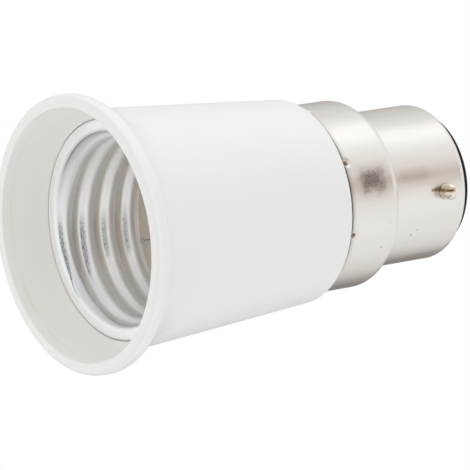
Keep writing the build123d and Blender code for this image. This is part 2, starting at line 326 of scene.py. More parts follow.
# Painted shadow and reflection of the front pin on the barrel beside it: a faint round, and a tail
# of spots by height and reach
PIN_SHADOW_ROUND = ((11.0, -0.1, 54.5), 1.1)
PIN_SHADOW_PLACE = (10.98, -0.40)
PIN_SHADOW_TAIL = ((54.80, 0.55), (54.40, 0.46), (53.95, 0.36), (53.50, 0.26))
PIN_RAGGED = 0.3

# Painted reflections on the pins, a dark line in a golden band: sideways and by height, each from
# one end to the other with its softness
PIN_GOLDEN_REFLECTION = ((-0.52, 0.16, 0.2), (54.50, 55.95, 0.15))
PIN_DARK_REFLECTION = ((-0.32, 0.02, 0.08), (54.75, 55.60, 0.2))
PIN_WANDER = 0.3

# The crimps' reach up and down with its softness, their depths from none to full, and how far above
# the cap's foot its painted shadow line and its painted shade end
CRIMP_REACH = (0.7, 0.1)
CRIMP_DEPTHS = (0.10, 0.26)
FOOT_SHADOW_LINE = 0.45
FOOT_SHADE = 1.1

# Film with painted reflections and painted shade on the shell, from none to full, by height, by
# radius or by degrees round the axis
BRIGHT_TOP = (22.0, 24.0)
GROOVE_RADII = (12.6, 13.2)
FLANGE_RADII = (13.7, 13.9)
FILM_WARMS = (9.0, 14.0)
FILM_COOLS = (152.0, 128.0)
FILM_DEEP = (18.0, 20.0)
PINK_ANGLES = (245.0, 195.0)
PALE_ANGLES = (60.0, 125.0)
SLIT_EDGE = 0.6

# The same from one end to the other, with the softness of both
FILM_HEIGHTS = (7.2, 30.0, 0.3)
BEND_HEIGHTS = (6.52, 7.8, 0.16)
LINE_HEIGHTS = (6.7, 24.9, 0.2)
CREASE_SHADOW_HEIGHTS = (6.66, 6.84, 0.09)
CREASE_SHADOW_ANGLES = (214.0, 268.0, 9.0)
STREAK_HEIGHTS = (6.2, 19.3, 0.12)

# Painted shade on the flange's bend: two angles, and the shares there
BEND_SHADE = (185.0, 125.0, 0.35, 0.85)

# Painted dark reflections on the thread, in streaks. The first band is placed by height less
# radius, which grows along the flange's bend, and the later ones by height above a crest. Four
# values lead from two angles or heights to two results.
FIRST_TURN = (8.6, 7.6)
FIRST_BAND_START = (150.0, 135.0, -6.72, -7.2)
FIRST_BAND_WIDTH = (138.0, 160.0, 0.3, 1.25)
FIRST_BAND_RISE = (-0.06, 0.06)
FIRST_BAND_FALL = (1.05, 0.4)
LATER_BAND_RISE = (2.36, 2.46)
LATER_BAND_FALL = (3.18, 2.62)
LATER_BAND_NARROWS = (160.0, 136.0, 0.0, 0.4)
STREAK_FIRST_ANGLE = (6.5, 13.8, 130.5, 153.0)
STREAK_STARTS = (-4.0, 8.0)
STREAK_ENDS = (187.0, 170.0)
STREAK_FAINTER = (11.0, 14.0, 1.0, 0.8)


def lip_ring(tree, radius, height, radii, heights):
    """One on a ring of the mouth's lip, fading in towards its rim."""
    return times(tree, within(tree, radius, *radii), ranged(tree, height, *heights))


def white_moulding():
    """Glossy white moulding: even outside, greyer in the mouth and darker on the lip as painted
    shade, with a painted shadow line at the lip's inner edge, some dust.
    """
    material, tree, shader = new_material("white_moulding")
    cloud = noise(tree, 9.0, detail=2.0)
    base = blend_colours(tree, cloud, (0.845, 0.845, 0.845, 1), (0.865, 0.865, 0.865, 1))
    radius, _, height = axes(tree)
    from_wall = calc(tree, "ADD", radius, times(tree, height, INNER_SLOPE))
    inside = ranged(tree, from_wall, *INNER_REACH)
    # Greyer and warmer in the mouth: painted shade
    base = blend_colours(tree, inside, base, (0.83, 0.812, 0.778, 1))
    # Painted shade on the lip, in rings
    for radii, heights, share, tint in LIP_SHADE_RINGS:
        base = stain(tree, base, lip_ring(tree, radius, height, radii, heights), share, tint)
    # A painted shadow line along the lip's inner edge
    uneven = ranged(tree, noise(tree, 6.0), 0.35, 0.65, 0.2, 0.7)
    base = stain(tree, base, lip_ring(tree, radius, height, *LIP_EDGE_SHADOW_RING), uneven, LIP_EDGE_SHADOW)
    fleck = ranged(tree, noise(tree, 0.5, detail=2.0), 0.72, 0.80)
    base = stain(tree, base, fleck, 0.2, (0.70, 0.69, 0.67, 1))
    feed(tree, shader.inputs["Base Color"], base)
    feed(tree, shader.inputs["Roughness"], ranged(tree, noise(tree, 3.0), *NOISE_SPAN, 0.34, 0.44))
    shader.inputs["IOR"].default_value = 1.5
    shader.inputs["Subsurface Weight"].default_value = 0.12
    shader.inputs["Subsurface Radius"].default_value = (0.0012, 0.0011, 0.0010)
    shader.inputs["Subsurface Scale"].default_value = 1.0
    return material


def metal(name, bright, dull, smooth, rough, stretch=(1.0, 1.0, 1.0), grain=0.4, depth=0.0):
    """A bare metal whose colour and roughness drift between two values, with a grain."""
    material, tree, shader = new_material(name)
    cloud = ranged(tree, noise(tree, 4.0, stretch=stretch), *NOISE_SPAN)
    feed(tree, shader.inputs["Base Color"], blend_colours(tree, cloud, bright, dull))
    streak = noise(tree, grain, detail=4.0, stretch=stretch)
    feed(tree, shader.inputs["Roughness"], ranged(tree, streak, *NOISE_SPAN, smooth, rough))
    shader.inputs["Metallic"].default_value = 1.0
    if depth:
        bump(tree, shader, streak, depth, 0.6)
    return material, tree, shader


def fed_from(socket):
    """The socket that a shader's socket is linked to."""
    return socket.links[0].from_socket


def nickel_plate():
    """The cap's satin nickel: a smudge and a halo of painted reflection, specks, a painted shadow
    and reflection of the front pin, brown crimps, and painted shade at its foot.
    """
    material, tree, shader = metal(
        "nickel_plate",
        (0.83, 0.802, 0.766, 1),
        (0.79, 0.762, 0.726, 1),
        0.29,
        0.35,
        stretch=(1.0, 1.0, 6.0),
        grain=0.8,
    )
    radius, angle, height = axes(tree)
    colour = fed_from(shader.inputs["Base Color"])
    roughness = fed_from(shader.inputs["Roughness"])

    speckle = noise(tree, 0.2, stretch=(1.0, 1.0, 2.0), roughness=0.7)
    speckle = ranged(tree, speckle, 0.30, 0.66, 0.62, 1.0)
    wander_angle = wandering(tree, angle, 13.0, noise(tree, 1.3))
    wander_height = wandering(tree, height, 2.4, noise(tree, 1.1, stretch=(1.0, 1.3, 1.0)))
    # A painted reflection of a dark gap in the studio on the collar: a brown halo, and a darker
    # smudge broken up by speckles
    halo = patch(tree, angle, height, *HALO_PATCH)
    colour = stain(tree, colour, halo, 0.25, (0.40, 0.32, 0.25, 1))
    reflected_smudge = times(tree, patch(tree, wander_angle, wander_height, *REFLECTED_SMUDGE_PATCH), speckle)
    colour = stain(tree, colour, reflected_smudge, 0.9, (0.15, 0.118, 0.096, 1))
    darkened = times(tree, patch(tree, angle, height, *RUBBED_PATCH), speckle)
    colour = stain(tree, colour, darkened, 0.22, (0.30, 0.22, 0.16, 1))

    specks = 0.0
    for middle, reach in CAP_SPECKS:
        specks = calc(tree, "MAXIMUM", specks, near(tree, middle, reach))
    colour = stain(tree, colour, specks, 0.45, (0.22, 0.17, 0.13, 1))

    # Painted shadow and reflection of the front pin on the barrel beside it
    pin_reflection = times(tree, near(tree, *PIN_SHADOW_ROUND, PIN_RAGGED), 0.35)
    for spot, reach in PIN_SHADOW_TAIL:
        spotted = near(tree, (*PIN_SHADOW_PLACE, spot), reach, PIN_RAGGED)
        pin_reflection = calc(tree, "MAXIMUM", pin_reflection, spotted)
    colour = stain(tree, colour, pin_reflection, 0.72, (0.17, 0.095, 0.055, 1))

    reach, soft = CRIMP_REACH
    crimp_heights = within(tree, height, CRIMP_HEIGHT - reach, CRIMP_HEIGHT + reach, soft)
    pressed_in = ranged(tree, radius, *(COLLAR_RADIUS - depth for depth in CRIMP_DEPTHS))
    crimps = times(tree, pressed_in, crimp_heights)
    colour = stain(tree, colour, crimps, 0.85, (0.27, 0.165, 0.07, 1))
    # Painted shadow line and painted shade on the cap's foot, where it meets the housing
    foot = ranged(tree, height, CAP_FOOT_HEIGHT + FOOT_SHADOW_LINE, CAP_FOOT_HEIGHT)
    colour = stain(tree, colour, foot, 0.94, (0.04, 0.032, 0.026, 1))
    shade = ranged(tree, height, CAP_FOOT_HEIGHT + FOOT_SHADE, CAP_FOOT_HEIGHT)
    colour = stain(tree, colour, shade, 0.3, (0.10, 0.08, 0.065, 1))
    feed(tree, shader.inputs["Base Color"], colour)

    dulling_and_shade = times(tree, calc(tree, "MAXIMUM", reflected_smudge, specks), 0.12)
    feed(tree, shader.inputs["Roughness"], calc(tree, "ADD", roughness, dulling_and_shade))
    return material


def film_and_reflection_tint(tree, turned, height):
    """The colour in the shell's grooves, a film with painted reflections of the shell, the tongue
    and warm surroundings: by depth, by the slit's sides, and blotchy.
    """
    deep = ranged(tree, height, *FILM_DEEP)
    past_slit = ranged(tree, turned, SLIT_ANGLE - SLIT_EDGE, SLIT_ANGLE + SLIT_EDGE)
    before_slit = calc(tree, "SUBTRACT", 1.0, past_slit)
    pink = times(tree, past_slit, ranged(tree, turned, *PINK_ANGLES), deep)
    pale = times(tree, before_slit, ranged(tree, turned, *PALE_ANGLES), deep)
    warm = ranged(tree, height, *FILM_WARMS)
    cool = ranged(tree, turned, *FILM_COOLS)
    tint = blend_colours(tree, warm, (0.89, 0.875, 0.852, 1), (0.995, 0.972, 0.93, 1))
    tint = blend_colours(tree, cool, tint, (0.95, 0.957, 0.955, 1))
    tint = blend_colours(tree, pink, tint, (1.0, 0.905, 0.83, 1))
    tint = blend_colours(tree, pale, tint, (1.0, 0.965, 0.85, 1))
    blotch = noise(tree, 1.7)
    tint = stain(tree, tint, ranged(tree, blotch, 0.54, 0.66), 0.75, (1.0, 0.91, 0.86, 1))
    return stain(tree, tint, ranged(tree, blotch, 0.46, 0.34), 0.75, (0.96, 0.965, 0.87, 1))


def above_crest(tree, angle, height):
    """Height above the thread's first crest, which climbs round the axis and leans."""
    climb = times(tree, calc(tree, "SUBTRACT", angle, START_ANGLE), PITCH / 360)
    turn = calc(tree, "RADIANS", angle)
    start = START_HEIGHT + THREAD_LOWER
    leaning = calc(tree, "MULTIPLY_ADD", calc(tree, "COSINE", turn), THREAD_LEAN[0], start)
    leaning = calc(tree, "MULTIPLY_ADD", calc(tree, "SINE", turn), THREAD_LEAN[1], leaning)
    return calc(tree, "SUBTRACT", calc(tree, "SUBTRACT", height, leaning), climb)


def dark_reflected_streaks(tree, radius, angle, turned, height, above):
    """Painted dark reflections on the shell, in streaks: a band on the flange's bend, one on each
    later turn.
    """
    first = ranged(tree, height, *FIRST_TURN)
    inward = calc(tree, "SUBTRACT", height, radius)
    band_start = ranged(tree, turned, *FIRST_BAND_START)
    band_width = ranged(tree, turned, *FIRST_BAND_WIDTH)
    share = calc(tree, "DIVIDE", calc(tree, "SUBTRACT", inward, band_start), band_width)
    rise = ranged(tree, share, *FIRST_BAND_RISE)
    first_band = times(tree, rise, ranged(tree, share, *FIRST_BAND_FALL))

    phase = calc(tree, "FLOORED_MODULO", above, PITCH)
    narrowed = calc(tree, "ADD", phase, ranged(tree, turned, *LATER_BAND_NARROWS))
    rise = ranged(tree, phase, *LATER_BAND_RISE)
    fall = ranged(tree, narrowed, *LATER_BAND_FALL)
    later_band = times(tree, rise, fall, calc(tree, "SUBTRACT", 1.0, first))
    band = calc(tree, "MULTIPLY_ADD", first, first_band, later_band)

    first_angle = ranged(tree, height, *STREAK_FIRST_ANGLE)
    start = ranged(tree, calc(tree, "SUBTRACT", turned, first_angle), *STREAK_STARTS)
    around = times(tree, start, ranged(tree, turned, *STREAK_ENDS))
    fainter = ranged(tree, height, *STREAK_FAINTER)
    strokes = thread_noise(tree, above, angle, 0.08, 2.2)
    strokes = ranged(tree, strokes, 0.28, 0.70, 0.35, 1.0)
    threaded = within(tree, height, *STREAK_HEIGHTS)
    return times(tree, band, around, fainter, threaded, strokes)


def rolled_shell():
    """The socket's shell: bright crests, a thin film with painted reflections in the grooves and on
    the wall, painted dark reflections in streaks, painted shade on the flange's bend and a painted
    shadow above it.
    """
    material, tree, shader = metal(
        "rolled_shell", (0.93, 0.932, 0.935, 1), (0.91, 0.912, 0.915, 1), 0.29, 0.36, grain=0.9
    )
    radius, angle, height = axes(tree)
    turned = calc(tree, "MODULO", calc(tree, "ADD", angle, 360.0), 360.0)
    above = above_crest(tree, angle, height)

    bright = fed_from(shader.inputs["Base Color"])
    bright = stain(tree, bright, ranged(tree, height, *BRIGHT_TOP), 0.9, (0.99, 0.985, 0.975, 1))
    # The grooves tinted as a film with painted reflections
    groove = times(tree, ranged(tree, radius, *GROOVE_RADII), within(tree, height, *FILM_HEIGHTS))
    patchy = ranged(tree, noise(tree, 2.2, detail=4.0), 0.25, 0.65, 0.6, 1.0)
    film_and_reflection = times(tree, groove, patchy)
    colour = blend_colours(tree, film_and_reflection, bright, film_and_reflection_tint(tree, turned, height))

    flange = ranged(tree, radius, *FLANGE_RADII)
    colour = blend_colours(tree, flange, colour, (0.97, 0.98, 0.99, 1))
    # Painted shade on the flange's bend, darker on one side round the axis
    flange_bend = within(tree, height, *BEND_HEIGHTS)
    dulling_and_shade = ranged(tree, turned, *BEND_SHADE)
    colour = stain(tree, colour, flange_bend, dulling_and_shade, (0.62, 0.62, 0.63, 1))

    lines = ranged(tree, thread_noise(tree, above, angle, 0.11, 70.0), 0.50, 0.66)
    lines = times(tree, lines, within(tree, height, *LINE_HEIGHTS))
    colour = stain(tree, colour, lines, 0.18, (0.55, 0.54, 0.53, 1))
    # Painted dark reflections, streaked along the thread
    darkened = dark_reflected_streaks(tree, radius, angle, turned, height, above)
    colour = stain(tree, colour, darkened, 0.9, (0.075, 0.075, 0.082, 1))
    # Painted shadow in the groove between the flange's bend and the first crest
    crease_shadow_heights = within(tree, height, *CREASE_SHADOW_HEIGHTS)
    crease_shadow = times(tree, crease_shadow_heights, within(tree, turned, *CREASE_SHADOW_ANGLES))
    colour = stain(tree, colour, crease_shadow, 0.7, (0.16, 0.155, 0.15, 1))
    shader.inputs["Metallic"].default_value = 0.76
    feed(tree, shader.inputs["Base Color"], colour)
    return material


def bare_wire(name, sleeve):
    """A wire with a coloured sleeve, bared to copper at both ends."""
    material, tree, shader = new_material(name)
    height = axes(tree)[2]
    sleeved = within(tree, height, WIRE_BARE_BELOW, WIRE_BARE_ABOVE, 0.01)
    tone = noise(tree, 1.5)
    cover = blend_colours(tree, tone, sleeve, [0.8 * part for part in sleeve[:3]] + [1])
    copper = blend_colours(tree, tone, (0.86, 0.50, 0.34, 1), (0.70, 0.38, 0.25, 1))
    feed(tree, shader.inputs["Base Color"], blend_colours(tree, sleeved, copper, cover))
    feed(tree, shader.inputs["Metallic"], calc(tree, "SUBTRACT", 1.0, sleeved))
    feed(tree, shader.inputs["Roughness"], ranged(tree, tone, *NOISE_SPAN, 0.32, 0.45))
    return material


def black_moulding():
    material, tree, shader = new_material("black_moulding")
    tone = noise(tree, 2.5)
    colour = blend_colours(tree, tone, (0.004, 0.004, 0.004, 1), (0.009, 0.008, 0.007, 1))
    feed(tree, shader.inputs["Base Color"], colour)
    gloss = ranged(tree, noise(tree, 0.8), *NOISE_SPAN, 0.42, 0.55)
    feed(tree, shader.inputs["Roughness"], gloss)
    shader.inputs["Specular IOR Level"].default_value = 0.2
    return material


def plated_pin():
    """The pins' bright plate, with a painted dark reflection across it in a painted golden
    reflection.
    """
    material, tree, shader = metal(
        "plated_brass", (0.86, 0.80, 0.70, 1), (0.80, 0.72, 0.59, 1), 0.12, 0.18
    )
    _, y, z = split_axes(tree, place(tree))
    colour = fed_from(shader.inputs["Base Color"])
    wander = times(tree, noise(tree, 0.5), PIN_WANDER)
    aside = calc(tree, "ADD", calc(tree, "DIVIDE", y, MM), wander)
    height = calc(tree, "DIVIDE", z, MM)
    # Painted reflections: a golden band, and a dark line across it
    for (sideways, heights), share, tint in (
        (PIN_GOLDEN_REFLECTION, 0.6, (0.60, 0.41, 0.16, 1)),
        (PIN_DARK_REFLECTION, 0.92, (0.085, 0.045, 0.012, 1)),
    ):
        pin_reflection = times(tree, within(tree, aside, *sideways), within(tree, height, *heights))
        colour = stain(tree, colour, pin_reflection, share, tint)
    feed(tree, shader.inputs["Base Color"], colour)
    return material


white = white_moulding()
nickel = nickel_plate()
shell_metal = rolled_shell()
black = black_moulding()
bronze = metal(
    "sprung_bronze",
    (0.86, 0.56, 0.40, 1),
    (0.74, 0.45, 0.30, 1),
    0.22,
    0.36,
    stretch=(1.0, 6.0, 1.0),
)[0]
pin_brass = plated_pin()
rivet_brass = metal("rivet_brass", (0.82, 0.70, 0.46, 1), (0.70, 0.57, 0.36, 1), 0.24, 0.38)[0]
tinned = metal("tinned_brass", (0.74, 0.71, 0.63, 1), (0.64, 0.61, 0.54, 1), 0.25, 0.40)[0]
solder = metal(
    "solder", (0.70, 0.70, 0.71, 1), (0.55, 0.55, 0.56, 1), 0.24, 0.46, grain=0.7, depth=0.03
)[0]
brown_wire = bare_wire("brown_wire", (0.16, 0.06, 0.025, 1))
blue_wire = bare_wire("blue_wire", (0.02, 0.09, 0.35, 1))

node_materials = {
    "housing": white,
    "bayonet_cap": nickel,
    "bayonet_pin_front": pin_brass,
    "bayonet_pin_back": pin_brass,
    "cap_insulator": black,
    "end_contact_front": tinned,
    "end_contact_back": tinned,
    "end_solder_front": solder,
    "end_solder_back": solder,
    "rivets": rivet_brass,
    "contact_tag": tinned,
    "shell_tag": tinned,
    "contact_tag_solder": solder,
    "shell_tag_solder": solder,
    "contact_wire": brown_wire,
    "shell_wire": blue_wire,
}
for name, material in node_materials.items():
    nodes[name].data.materials.clear()
    nodes[name].data.materials.append(material)


# Mesh helpers

def put(name, data):
    """A new object in the scene."""
    made = bpy.data.objects.new(name, data)
    bpy.context.scene.collection.objects.link(made)
    return made


def add_object(name, mesh, material):
    """A piece of one material."""
    made = put(name, mesh)
    mesh.materials.clear()
    mesh.materials.append(material)
    return made


def grid_mesh(name, rings, closed_rings):
    """A closed skin over rings of points, all with the same count and joined in order."""
    mesh = bpy.data.meshes.new(name)
    count = len(rings[0])
    points = [tuple(axis * MM for axis in point) for ring in rings for point in ring]
    faces = []
    steps = len(rings) if closed_rings else len(rings) - 1
    for ring in range(steps):
        here = ring * count
        there = (ring + 1) % len(rings) * count
        for step in range(count):
            after = (step + 1) % count
            faces.append((here + step, here + after, there + after, there + step))
    if not closed_rings:
        last = (len(rings) - 1) * count
        faces.append(tuple(range(count))[::-1])
        faces.append(tuple(last + step for step in range(count)))
    mesh.from_pydata(points, [], faces)
    shape = bmesh.new()
    shape.from_mesh(mesh)
    bmesh.ops.recalc_face_normals(shape, faces=shape.faces)
    shape.to_mesh(mesh)
    shape.free()
    return mesh


def prism(name, outline, low, high):
    """A flat outline in X and Y raised from one height to another."""
    return grid_mesh(name, [[(x, y, height) for x, y in outline] for height in (low, high)], False)


def combined(base, tool, operation):
    """The base mesh cut by or joined with a tool mesh."""
    holder = put("combining_base", base)
    other = put("combining_tool", tool)
    step = holder.modifiers.new("combine", "BOOLEAN")
    step.object = other
    step.operation = operation
    step.solver = "EXACT"
    graph = bpy.context.evaluated_depsgraph_get()
    result = bpy.data.meshes.new_from_object(holder.evaluated_get(graph))
    for made in (holder, other):
        bpy.data.objects.remove(made)
    return result


def points_round(middle, radius, turns):
    return [
        (middle[0] + radius * math.cos(turn), middle[1] + radius * math.sin(turn)) for turn in turns
    ]


def circle(middle, radius, count=HOLE_STEPS):
    return points_round(middle, radius, [2 * math.pi * step / count for step in range(count)])


def arc_points(middle, radius, start, end, count):
    """Points on an arc from one angle to another, in degrees."""
    turns = [math.radians(start + (end - start) * step / count) for step in range(count + 1)]
    return points_round(middle, radius, turns)


def smooth_step(value, low, high):
    share = min(max((value - low) / (high - low), 0.0), 1.0)
    return share * share * (3 - 2 * share)


# Screw shell: a rolled round thread between the flange and the plain wall above it

FLANK_TURN = 2 * math.atan(THREAD_DEPTH / (PITCH / 2))
KNUCKLE_ROUND = PITCH / 4 / math.sin(FLANK_TURN)


def knuckle(offset):
    """How far the round thread stands in, from 0 in the groove to its full depth on the crest."""
    from_crest = abs(offset)
    if from_crest >= PITCH / 2:
        return 0.0
    if from_crest <= PITCH / 4:
        return THREAD_DEPTH - KNUCKLE_ROUND + math.sqrt(KNUCKLE_ROUND**2 - from_crest**2)
    from_groove = PITCH / 2 - from_crest
    return KNUCKLE_ROUND - math.sqrt(KNUCKLE_ROUND**2 - from_groove**2)


def thread_rise(angle, height):
    """How far the wall is pressed in at an angle in degrees and a height; it fades at the ends."""
    first = (angle - START_ANGLE) / 360 % 1.0
    across, along = math.cos(math.radians(angle)), math.sin(math.radians(angle))
    leaning = THREAD_LOWER + THREAD_LEAN[0] * across + THREAD_LEAN[1] * along
    rise = 0.0
    for turn in range(math.ceil(TURNS) + 1):
        turns = first + turn
        crest = START_HEIGHT + PITCH * turns + leaning
        fade_out = 1 - smooth_step(turns, TURNS - THREAD_RUN_OUT, TURNS + THREAD_RUN_OUT)
        fade_in = smooth_step(crest, *(MOUTH_DEPTH + limit for limit in THREAD_FADE_IN))
        rise += fade_out * fade_in * knuckle(height - crest)
    return rise * smooth_step(height, MOUTH_DEPTH, MOUTH_DEPTH + FLANGE_BEND + FLANGE_FADE)


def shell_loop():
    """The sheet's section as a closed loop of radius, height and its share of the thread's rise."""
    tab_height = FLOOR_HEIGHT - SHEET
    wall_radius = ROOT_RADIUS + SHEET
    ledge = MOUTH_DEPTH + SHEET
    edge_radius = FLANGE_RADIUS - SHEET_EDGE_ROUND
    inner_start = ROOT_RADIUS + FLANGE_BEND
    floor_middle = (ROOT_RADIUS + FLOOR_INNER_RADIUS) / 2
    bend_middle = (ROOT_RADIUS - FLOOR_BEND, tab_height - FLOOR_BEND)
    low = MOUTH_DEPTH + FLANGE_BEND
    high = tab_height - FLOOR_BEND
    loop = []

    def add_arc(share, *arc):
        for radius, height in arc_points(*arc):
            loop.append((radius, height, share))

    upper, lower = ledge - SHEET_EDGE_ROUND, MOUTH_DEPTH + SHEET_EDGE_ROUND
    add_arc(0.0, (edge_radius, upper), SHEET_EDGE_ROUND, 90, 0, SHEET_EDGE_STEPS)
    add_arc(0.0, (edge_radius, lower), SHEET_EDGE_ROUND, 0, -90, SHEET_EDGE_STEPS)
    for step in range(1, FLANGE_STEPS):
        share = step / FLANGE_STEPS
        radius = edge_radius + (inner_start - edge_radius) * share
        loop.append((radius, MOUTH_DEPTH, smooth_step(share, *FLANGE_TAKES_THREAD)))
    add_arc(1.0, (inner_start, low), FLANGE_BEND, 270, 180, FLANGE_BEND_STEPS)
    for step in range(1, WALL_STEPS):
        loop.append((ROOT_RADIUS, low + (high - low) * step / WALL_STEPS, 1.0))
    add_arc(1.0, bend_middle, FLOOR_BEND, 0, 90, FLOOR_BEND_STEPS)
    loop.append((floor_middle, tab_height, 0.0))
    loop.append((FLOOR_INNER_RADIUS, tab_height, 0.0))
    loop.append((FLOOR_INNER_RADIUS, FLOOR_HEIGHT, 0.0))
    loop.append((floor_middle, FLOOR_HEIGHT, 0.0))
    add_arc(1.0, bend_middle, FLOOR_BEND + SHEET, 90, 0, FLOOR_BEND_STEPS)
    for step in range(1, BACK_STEPS):
        loop.append((wall_radius, high + (ledge - high) * step / BACK_STEPS, 1.0))
    for step in range(LEDGE_STEPS):
        share = step / LEDGE_STEPS
        radius = wall_radius + (edge_radius - wall_radius) * share
        loop.append((radius, ledge, 1 - smooth_step(share, *LEDGE_LOSES_THREAD)))
    return loop


def add_tabs(mesh):
    """The shell with its two riveted tabs on the socket's floor."""
    low, high = FLOOR_HEIGHT - SHEET + TAB_INSET, FLOOR_HEIGHT - TAB_INSET
    root = ROOT_RADIUS - FLOOR_BEND
    half = TAB_WIDTH / 2
    for side in (1, -1):
        outline = [(side * root, -half), (side * root, half)]
        for x, y in arc_points((0, 0), half, 90, 270, TAB_END_STEPS):
            outline.append((side * (SHELL_RIVET_OFFSET + x), y))
        mesh = combined(mesh, prism("tab", outline, low, high), "UNION")
        hole = circle((side * SHELL_RIVET_OFFSET, 0), RIVET_HOLE_RADIUS)
        cutter = prism("tab_hole", hole, low - CUT_PAST, high + CUT_PAST)
        mesh = combined(mesh, cutter, "DIFFERENCE")
    return mesh


def cut_slit(mesh):
    """The shell with its slit up to the floor, and the round hole at the slit's end."""
    slit_top = FLOOR_HEIGHT - SHEET
    slit_end = slit_top - SLIT_LENGTH
    top = slit_top - SLIT_SHORT
    half = SLIT_WIDTH / 2
    slit = [(-slit_end, -half), (-slit_end, half), (-top, half), (-top, -half)]
    turn = Matrix.Rotation(math.radians(SLIT_ANGLE), 4, "Z")
    aside = Matrix.Rotation(math.radians(90), 4, "Y")
    for outline in (slit, circle((-slit_end, 0), SLIT_HOLE_RADIUS, SLIT_HOLE_STEPS)):
        cutter = prism("slit", outline, ROOT_RADIUS - CUT_PAST, ROOT_RADIUS + CUT_PAST)
        cutter.transform(turn @ aside)
        mesh = combined(mesh, cutter, "DIFFERENCE")
    return mesh


def make_shell():
    loop = shell_loop()
    rings = []
    for step in range(SHELL_STEPS):
        angle = 360 * step / SHELL_STEPS
        across, along = math.cos(math.radians(angle)), math.sin(math.radians(angle))
        ring = []
        for radius, height, share in loop:
            pressed = radius - share * thread_rise(angle, height)
            ring.append((pressed * across, pressed * along, height))
        rings.append(ring)
    mesh = cut_slit(add_tabs(grid_mesh("screw_shell_skin", rings, True)))
    return add_object("rolled_screw_shell", mesh, shell_metal)


shell = make_shell()
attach(shell, "adapter")
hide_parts("screw_shell")


# Sprung tongue: a bent strip riveted at its foot

def tongue_line(samples):
    """Points evenly along the strip's upper face, with rounded bends, as y and z."""
    corners = [
        Vector((TONGUE_FOOT_START, FLOOR_HEIGHT)),
        Vector((TONGUE_FOOT_END, FLOOR_HEIGHT)),
        Vector((TONGUE_CREST, FLOOR_HEIGHT - TONGUE_RISE)),
        Vector((TONGUE_END, FLOOR_HEIGHT - TONGUE_RISE + TONGUE_END_DROP)),
    ]
    path = [corners[0]]
    for before, corner, after in zip(corners, corners[1:], corners[2:]):
        back, ahead = (before - corner).normalized(), (after - corner).normalized()
        half = back.angle(ahead) / 2
        reach = TONGUE_BEND / math.tan(half)
        middle = corner + (back + ahead).normalized() * (TONGUE_BEND / math.sin(half))
        first = corner + back * reach - middle
        last = corner + ahead * reach - middle
        path.append(middle + first)
        for step in range(1, TONGUE_BEND_STEPS):
            path.append(middle + first.slerp(last, step / TONGUE_BEND_STEPS))
        path.append(middle + last)
    path.append(corners[-1])
    lengths = [0.0]
    for first, last in zip(path, path[1:]):
        lengths.append(lengths[-1] + (last - first).length)
    spots = []
    for step in range(samples):
        goal = lengths[-1] * step / (samples - 1)
        index = max(i for i, length in enumerate(lengths[:-1]) if length <= goal + ROUNDING)
        share = (goal - lengths[index]) / (lengths[index + 1] - lengths[index])
        spots.append(path[index].lerp(path[index + 1], share))
    return spots


def tongue_half_width(along):
    """Half the strip's width at a place along it: narrower past the foot, rounded at the ends."""
    half = TONGUE_WIDTH / 2
    if along > TONGUE_FOOT_END:
        share = (along - TONGUE_FOOT_END) / (TONGUE_END - TONGUE_FOOT_END)
        half = (TONGUE_WIDTH + (TONGUE_TIP_WIDTH - TONGUE_WIDTH) * share) / 2
    from_end = min(along - TONGUE_FOOT_START, TONGUE_END - along)
    if from_end < TONGUE_CORNER:
        short = TONGUE_CORNER - max(from_end, TONGUE_LEAST)
        half -= TONGUE_CORNER - math.sqrt(max(TONGUE_CORNER**2 - short**2, 0.0))
    return half


def make_tongue():
    spots = tongue_line(TONGUE_SAMPLES)
    rings = []
    for index, spot in enumerate(spots):
        ahead = spots[min(index + 1, len(spots) - 1)] - spots[max(index - 1, 0)]
        down = Vector((ahead.y, -ahead.x)).normalized()
        half = tongue_half_width(spot.x)
        inner = half - TONGUE_EDGE
        ring = []
        for x, depth in (
            (-inner, 0.0),
            (inner, 0.0),
            (half, TONGUE_EDGE),
            (half, SHEET - TONGUE_EDGE),
            (inner, SHEET),
            (-inner, SHEET),
            (-half, SHEET - TONGUE_EDGE),
            (-half, TONGUE_EDGE),
        ):
            point = spot + down * depth
            ring.append((x, point.x, point.y))
        rings.append(ring)
    mesh = grid_mesh("tongue_skin", rings, False)
    hole = circle((0, TONGUE_RIVET), RIVET_HOLE_RADIUS)
    cutter = prism("tongue_hole", hole, FLOOR_HEIGHT - 2 * CUT_PAST, FLOOR_HEIGHT + 2 * CUT_PAST)
    return add_object("sprung_tongue", combined(mesh, cutter, "DIFFERENCE"), bronze)


tongue = make_tongue()
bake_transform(tongue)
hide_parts("centre_contact")


# Stage: a pale floor under the mouth's rim, seen only from above, and a white studio round it

GROUND_RADIUS = 0.8
GROUND_STEPS = 96
GROUND_FADE = (0.05, 0.30)
# The floor's grey near the part, painted shade round it, which fades into white further out
GROUND_SHADOW_COLOUR = (0.76, 0.76, 0.76, 1)

